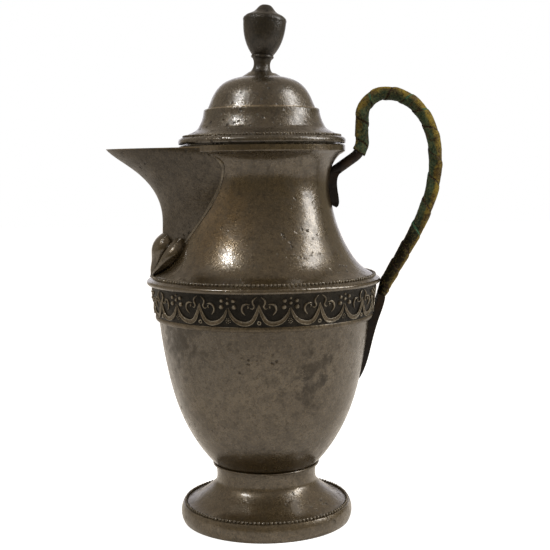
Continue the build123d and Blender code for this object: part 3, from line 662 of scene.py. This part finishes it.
def bead_tree():
    """Beads of slightly uneven size, side by side on a level ring."""
    tree, sizes = new_tree("bead_ring", [
        ("Count", "Int"), ("Ring Radius", "Float"), ("Height", "Float"), ("Bead Radius", "Float"),
        ("Unevenness", "Float"), ("Material", "Material")])
    ring = add_node(tree, "GeometryNodeMeshCircle", Vertices=sizes["Count"], Radius=sizes["Ring Radius"])
    lift = add_node(tree, "ShaderNodeCombineXYZ", Z=sizes["Height"])
    raised = add_node(tree, "GeometryNodeSetPosition", Geometry=ring.outputs["Mesh"],
                      Offset=lift.outputs["Vector"])
    ball = add_node(tree, "GeometryNodeMeshIcoSphere", Subdivisions=2, Radius=sizes["Bead Radius"])
    uneven = add_node(tree, "FunctionNodeRandomValue", {"data_type": "FLOAT"}, Seed=7)
    tree.links.new(combine(tree, "SUBTRACT", 1.0, sizes["Unevenness"]), uneven.inputs[2])
    beads = add_node(tree, "GeometryNodeInstanceOnPoints", Points=raised.outputs["Geometry"],
                     Instance=ball.outputs["Mesh"], Scale=uneven.outputs[1])
    end_tree(tree, beads, sizes["Material"], smooth=True)
    return tree


def make_beads(material):
    """The three rings of beads: on the foot, on the shoulder and on the lid's edge."""
    tree = bead_tree()
    for node, count, radius, height, size, body, slot in BEAD_RINGS:
        piece = run_tree(node.replace("_ring", "s"), tree, {
            "Count": count, "Ring Radius": radius * MM, "Height": height * MM, "Bead Radius": size * MM,
            "Unevenness": BEAD_UNEVENNESS, "Material": material})
        place_piece(piece, body, (node,))


def band_point(across, height, lift):
    """Point on the frieze band: millimetres across from the repeat's middle, up its slope, off its face."""
    low, high = Vector(BAND_LOW), Vector(BAND_HIGH)
    slope = (high - low).normalized()
    foot = low + slope * height + Vector((slope.y, -slope.x)) * lift
    angle = math.radians(REPEAT_SHIFT) + across / BAND_LOW[0]
    return Vector((foot.x * math.sin(angle), -foot.x * math.cos(angle), foot.y)) * MM


def smooth_line(points, steps):
    """Points along a smooth line through the ones given."""
    ends = [2 * points[0] - points[1], *points, 2 * points[-1] - points[-2]]
    line = []
    for a, b, c, d in zip(ends, ends[1:], ends[2:], ends[3:]):
        for step in range(steps):
            t = step / steps
            line.append(0.5 * (2 * b + (c - a) * t + (2 * a - 5 * b + 4 * c - d) * t * t
                               + (3 * b - a - 3 * c + d) * t ** 3))
    return line + [points[-1]]


def line_run(line, i):
    """Direction of a line at one of its points."""
    return (line[min(i + 1, len(line) - 1)] - line[max(i - 1, 0)]).normalized()


def add_ridge(relief, route, width, section, steps, swell=0.5):
    """Adds a raised line on the band that tapers to its ends: not at all at a swell of 0, like a sine at 1."""
    points, faces, crests = relief
    line = smooth_line([Vector(p) for p in route], steps)
    start = len(points)
    for i, here in enumerate(line):
        run = line_run(line, i)
        share = i / (len(line) - 1)
        half = width / 2 * max(END_WIDTH, math.sin(math.pi * share) ** swell)
        side = Vector((run.y, -run.x)) * half
        drop = min(1.0, half * END_RISE / width)
        for out, lift in section:
            spot = here + side * out
            points.append(band_point(spot.x, spot.y, lift * drop - RELIEF_SINK))
            crests.append(lift / TALLEST)
    faces += wall_faces(start, len(line), len(section)) + end_faces(start, len(line), len(section))


def add_berry(relief, across, height, radius, lift):
    """Adds a round berry that stands on the band."""
    points, faces, crests = relief
    rings, spokes = 4, 10
    start = len(points)
    points.append(band_point(across, height, lift))
    crests.append(1.0)
    for ring in range(1, rings + 1):
        tilt = math.pi / 2 * ring / rings
        for spoke in range(spokes):
            turn = 2 * math.pi * spoke / spokes
            reach = radius * math.sin(tilt)
            points.append(band_point(across + reach * math.cos(turn), height + reach * math.sin(turn),
                                     lift * math.cos(tilt) - RELIEF_SINK))
            crests.append(math.cos(tilt))
    for spoke in range(spokes):
        after = (spoke + 1) % spokes
        faces.append((start, start + 1 + spoke, start + 1 + after))
        for ring in range(rings - 1):
            a = start + 1 + ring * spokes
            faces.append((a + spoke, a + spokes + spoke, a + spokes + after, a + after))
    faces.append(tuple(start + 1 + (rings - 1) * spokes + spoke for spoke in reversed(range(spokes))))


def add_loop(relief, across, height, radius):
    """Adds a small ring that lies on the band."""
    points, faces, crests = relief
    steps, corners = 12, len(RING_SECTION)
    start = len(points)
    for step in range(steps):
        turn = 2 * math.pi * step / steps
        for out, lift in RING_SECTION:
            points.append(band_point(across + (radius + out) * math.cos(turn),
                                     height + (radius + out) * math.sin(turn), lift))
            crests.append(1.0 if lift > 0 else 0.0)
    for step in range(steps):
        a, b = start + corners * step, start + corners * ((step + 1) % steps)
        for j in range(corners):
            k = (j + 1) % corners
            faces.append((a + j, b + j, b + k, a + k))


def frieze_repeat():
    """One repeat of the relief: two swags, berries over one cusp, a scrolled loop over the other, and between
    the swags a rosette under the berries and a small ring under the loop."""
    relief = points, faces, crests = [], [], []
    half = math.radians(360 / REPEATS) * BAND_LOW[0] / 2
    stretch = half / (SWAG[0][0] + SWAG[-1][0] - SWAG_OVERLAP)
    for side in (-1, 1):
        add_ridge(relief, [(side * x * stretch, y) for x, y in SWAG], SWAG_WIDTH, CRESCENT, 4, 0.75)
        for across, height, radius in SIDE_BERRIES:
            add_berry(relief, side * across, height, radius, radius * BERRY_RISE)
        for route, width, steps in LOOP_LINES:
            add_ridge(relief, [(half + side * x, y) for x, y in route], width, ROUND_RIDGE, steps)
    for across, height, radius in MIDDLE_BERRIES:
        add_berry(relief, across, height, radius, radius * BERRY_RISE)
    for petal in range(PETALS):
        turn = 2 * math.pi * petal / PETALS + FIRST_PETAL
        add_berry(relief, ROSETTE[0] * math.sin(turn), ROSETTE_HEIGHT + ROSETTE[1] * math.cos(turn), *PETAL)
    add_berry(relief, 0.0, ROSETTE_HEIGHT, *EYE)
    add_loop(relief, half, *SMALL_RING)
    mesh = smooth_mesh("frieze_repeat", points, faces)
    set_attribute(mesh, "crest", crests)
    return mesh


def round_tree():
    """The piece's own mesh repeated evenly round the pot's axis."""
    tree, sizes = new_tree("repeat_round", [
        ("Repeat", "Geometry"), ("Repeats", "Int"), ("Material", "Material")])
    spots = add_node(tree, "GeometryNodePoints", Count=sizes["Repeats"])
    index = add_node(tree, "GeometryNodeInputIndex")
    step = combine(tree, "DIVIDE", 2 * math.pi, sizes["Repeats"])
    turn = add_node(tree, "ShaderNodeCombineXYZ", Z=times(tree, step, index.outputs[0]))
    repeats = add_node(tree, "GeometryNodeInstanceOnPoints", Points=spots.outputs["Points"],
                       Instance=sizes["Repeat"], Rotation=turn.outputs["Vector"])
    end_tree(tree, repeats, sizes["Material"])
    return tree


def make_frieze(material):
    """Relief of swags, berries and scrolls all round the band."""
    piece = run_tree("frieze_relief", round_tree(), {"Repeats": REPEATS, "Material": material},
                     frieze_repeat())
    place_piece(piece, "pot")


def bar_line():
    """Points, directions and lengths every quarter millimetre or so along the bar's middle, in side view."""
    here = Vector(BAR_START)
    run = (Vector(BAR_RISE_END) - here).normalized()
    spots, runs = [here], [run]
    for target in (BAR_RISE_END, BAR_UPRIGHT_LOW, BAR_UPRIGHT_TOP, *BAR_TURNS, BAR_TAPER_END):
        chord = Vector(target) - here
        normal = Vector((-run.y, run.x))
        bend = 2 * chord.dot(normal) / chord.length_squared
        straight = target == BAR_TAPER_END or abs(bend) < 1e-3
        steps = max(2, round(chord.length * 4))
        if straight:
            run = chord.normalized()
        sweep = 2 * math.asin(max(-1.0, min(1.0, bend * chord.length / 2)))
        for step in range(1, steps + 1):
            if straight:
                spots.append(here + chord * step / steps)
                runs.append(run)
                continue
            turn = sweep * step / steps
            spots.append(here + (run * math.sin(turn) + normal * (1 - math.cos(turn))) / bend)
            runs.append(run * math.cos(turn) + normal * math.sin(turn))
        here, run = spots[-1], runs[-1]
    lengths = [0.0]
    for a, b in zip(spots, spots[1:]):
        lengths.append(lengths[-1] + (b - a).length)
    return spots, runs, lengths


def strip_edge(turn):
    """Length along the bar of the strip's first edge after so many turns, whole ones at the bar's front."""
    seam = min(max(math.floor(turn), 0), len(WRAP_SEAMS) - 2)
    return WRAP_SEAMS[seam] + (WRAP_SEAMS[seam + 1] - WRAP_SEAMS[seam]) * (turn - seam)


def rise(along, start, over):
    """Value that goes up by 1 over a length along the bar, from 0 at its start."""
    return (along - start) / over


def make_wrap(material):
    """Strip wound round the bar from the neck end, each turn lying over the edge of the one before."""
    spots, runs, lengths = bar_line()
    whole = lengths[-1]
    taper_start = whole - (Vector(BAR_TAPER_END) - Vector(BAR_TURNS[-1])).length

    def strip_point(along, angle, lift):
        """Point at a length along the bar, an angle round it and a height over it."""
        along = min(max(along, 0.0), whole)
        low, high = 0, len(lengths) - 1
        while high - low > 1:
            middle = (low + high) // 2
            low, high = (middle, high) if lengths[middle] <= along else (low, middle)
        share = (along - lengths[low]) / (lengths[high] - lengths[low])
        centre = spots[low].lerp(spots[high], share)
        run = runs[low].lerp(runs[high], share).normalized()
        thin = max(0.0, (along - taper_start) / (whole - taper_start)) * (BAR_THICK - BAR_END_THICK) / 2
        out = math.cos(angle) * (BAR_THICK / 2 - thin + lift)
        return Vector((centre.x - run.y * out, math.sin(angle) * (BAR_WIDE / 2 + lift),
                       centre.y + run.x * out)) * MM

    points, lanes, wear, edge, soot = [], [], [], [], []
    first = round(-TURNS_BEFORE * STATIONS_PER_TURN)
    last = round((len(WRAP_SEAMS) - 1 + TURNS_AFTER) * STATIONS_PER_TURN)
    across = [(j / CELLS_ACROSS, True) for j in range(CELLS_ACROSS + 1)]
    across += [(j / CELLS_ACROSS, False) for j in reversed(range(CELLS_ACROSS + 1))]
    for station in range(first, last + 1):
        turn = station / STATIONS_PER_TURN
        angle = 2 * math.pi * (turn - 0.25)
        wander = WANDER * noise.noise(Vector((turn * 2.3, 0.4, 0.0)))
        low = max(strip_edge(turn) + wander, WRAP_START + 0.5 * wander)
        high = min(strip_edge(turn + 1) + STRIP_OVERLAP, whole)
        for share, outside in across:
            along = low + (high - low) * share + SHIFT * noise.noise(Vector((turn * 5.1, share * 3.0, 7.0)))
            wrinkle = WRINKLE * noise.noise(Vector((turn * 6.0, share * 9.0, 2.0)))
            lift = STRIP_CLEARANCE + STRIP_TUCK * (1 - share) ** 1.3
            if outside:
                rounded = min(1.0, 0.55 + 6 * min(share, 1 - share))
                lift += STRIP_THICK * rounded + max(wrinkle, -WRINKLE_DEPTH)
            points.append(strip_point(along, angle, lift))
            lanes.append((turn * TURN_IN_PATTERN, along * MM))
            worn = min(1.0, max(WEAR_LEAST, WEAR_LEAST + rise(along, WEAR_FROM, WEAR_OVER)))
            wear.append((0.5 + 0.5 * math.cos(angle)) * worn)
            # Dark along the turn's own edge, and painted shadow beside the edge of the next turn that laps
            # over it
            covered = high - STRIP_OVERLAP - along
            dark = max(0.0, 1 - (along - low) / EDGE_WIDTH, 1 - abs(covered) / EDGE_WIDTH)
            edge.append(dark if outside else 1.0)
            soot.append(min(1.0, max(0.0, rise(along, SOOT_FROM, SOOT_OVER))))
    corners = len(across)
    faces = wall_faces(0, last - first + 1, corners)
    for a, ordered in ((0, reversed), ((last - first) * corners, list)):
        for j in range(CELLS_ACROSS):
            quad = [a + j, a + j + 1, a + corners - 2 - j, a + corners - 1 - j]
            faces.append(tuple(ordered(quad)))
    piece = new_piece("wound_strip", points, faces, material, "pot", ("handle_wrap",))
    uv = piece.data.uv_layers.new(name="strip")
    for loop in piece.data.loops:
        uv.data[loop.index].uv = lanes[loop.vertex_index]
    for name, values in (("wear", wear), ("edge", edge), ("soot", soot)):
        set_attribute(piece.data, name, values)


def first_hit(tree, angle, height):
    """Where a level line towards the axis first meets a surface, or nothing."""
    out = Vector((math.cos(angle), math.sin(angle), 0))
    return tree.ray_cast(out * OUTSIDE_R + Vector((0, 0, height)), -out, OUTSIDE_R)[0]


def surface_of(node):
    """Search tree of a CAD node's surface."""
    mesh = nodes[node].data
    return BVHTree.FromPolygons([v.co for v in mesh.vertices], [p.vertices for p in mesh.polygons])


def tube(name, route, radius, material):
    """Flattened uneven bead of metal along a route, closed at both ends."""
    spokes = 8
    points = []
    for i, here in enumerate(route):
        run = line_run(route, i)
        out = Vector((here.x, here.y, 0)).normalized()
        side = run.cross(out).normalized()
        taper = min(1.0, 0.25 + min(i, len(route) - 1 - i) * 0.3)
        size = radius * (1 + UNEVEN * noise.noise(here * LUMPS)) * taper
        for spoke in range(spokes):
            turn = 2 * math.pi * spoke / spokes
            points.append(here + side * math.cos(turn) * size + out * math.sin(turn) * size * FLATNESS)
    faces = wall_faces(0, len(route), spokes) + end_faces(0, len(route), spokes)
    new_piece(name, points, faces, material, "pot")


def make_solder(material):
    """Uneven solder line where the beak's sides meet the neck."""
    beak, neck = surface_of("spout_shell"), surface_of("neck_shell")
    low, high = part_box("spout_shell")[0].z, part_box("neck_shell")[1].z
    for side, name in ((1, "left"), (-1, "right")):
        route = []
        for station in range(1, SOLDER_STATIONS):
            height = low + (high - low) * station / SOLDER_STATIONS
            inside, outside = 0.0, math.pi / 2
            for _ in range(HALVINGS):
                middle = (inside + outside) / 2
                if first_hit(beak, math.pi + side * middle, height) is None:
                    outside = middle
                else:
                    inside = middle
            spot = first_hit(neck, math.pi + side * (inside + SOLDER_BESIDE), height)
            if spot is not None:
                route.append(spot)
        tube(f"spout_solder_{name}", route, SOLDER_R * MM, material)


bpy.context.scene.view_settings.view_transform = "Standard"
make_camera()
make_studio()
make_table()

# Finishes: bright tone, brown tone and how rough the shine is, then what each finish has besides
drum_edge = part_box("lid_drum")[1].z
beak_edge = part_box("spout_shell")[1].z
body_pewter = pewter("body_pewter", *BODY_TONES, grain=1.2, blots=BODY_BLOTS, tints=BODY_TINTS)
foot_pewter = pewter("foot_pewter", (0.110, 0.081, 0.043), (0.074, 0.050, 0.019), 0.1, grain=1.4)
# The rim's finish has painted shade in the gap under the lid
rim_pewter = pewter("rim_pewter", *BODY_TONES, grain=1.2, gap_shade_heights=LID_GAP)
# The beak's top edge gets a painted highlight line
spout_pewter = pewter("spout_pewter", (0.060, 0.045, 0.026), (0.034, 0.023, 0.009), 0.14,
                      pits=0.9, grain=1.6, polish=0.4, highlight_heights=(beak_edge,))
# The lid's finish has painted shade in its gap with the rim and a painted highlight line along the drum's top
# edge
lid_pewter = pewter("lid_pewter", (0.068, 0.050, 0.026), (0.038, 0.026, 0.010), 0.07,
                    pits=1.3, grain=2.4, polish=0.9, gap_shade_heights=LID_GAP, highlight_heights=(drum_edge,))
finial_pewter = pewter("finial_pewter", (0.034, 0.025, 0.014), (0.012, 0.009, 0.004), 0.12,
                       pits=0.9, grain=3.2, polish=0.4)
ground_pewter = pewter("ground_pewter", (0.026, 0.021, 0.014), (0.006, 0.005, 0.003), 0.3,
                       pits=0.6, grain=2.6, polish=0.05)
# The relief's tops take the crest colour, partly worn bright and partly painted highlight
relief_pewter = pewter("relief_pewter", (0.130, 0.100, 0.060), (0.080, 0.058, 0.030), 0.2,
                       pits=0.1, grain=1.4, polish=0.3, crest=(0.25, 0.22, 0.165))
bead_pewter = pewter("bead_pewter", (0.145, 0.118, 0.078), (0.085, 0.066, 0.040), 0.1,
                     pits=0.0, grain=0.6, polish=0.5)
iron = forged_iron()
strip = worn_strip()

# Nodes with a finish of their own. The other nodes of the lid and of the pot share one each
own_finish = {
    "handle_bar": iron, "handle_leaf": iron, "handle_tail": iron, "handle_wrap": strip,
    "frieze_band": ground_pewter, "band_fillet": relief_pewter,
    "foot_casting": foot_pewter, "stem_lip": foot_pewter,
    "rim_ring": rim_pewter, "spout_shell": spout_pewter,
    "finial_stem": finial_pewter, "finial_urn": finial_pewter, "finial_cap": finial_pewter,
}
lid_nodes = frame["record"]["behaviour"]["bodies"]["lid"]
for node in nodes:
    dress(node, own_finish.get(node, lid_pewter if node in lid_nodes else body_pewter))

make_beads(bead_pewter)
make_frieze(relief_pewter)
make_wrap(strip)
make_solder(bead_pewter)
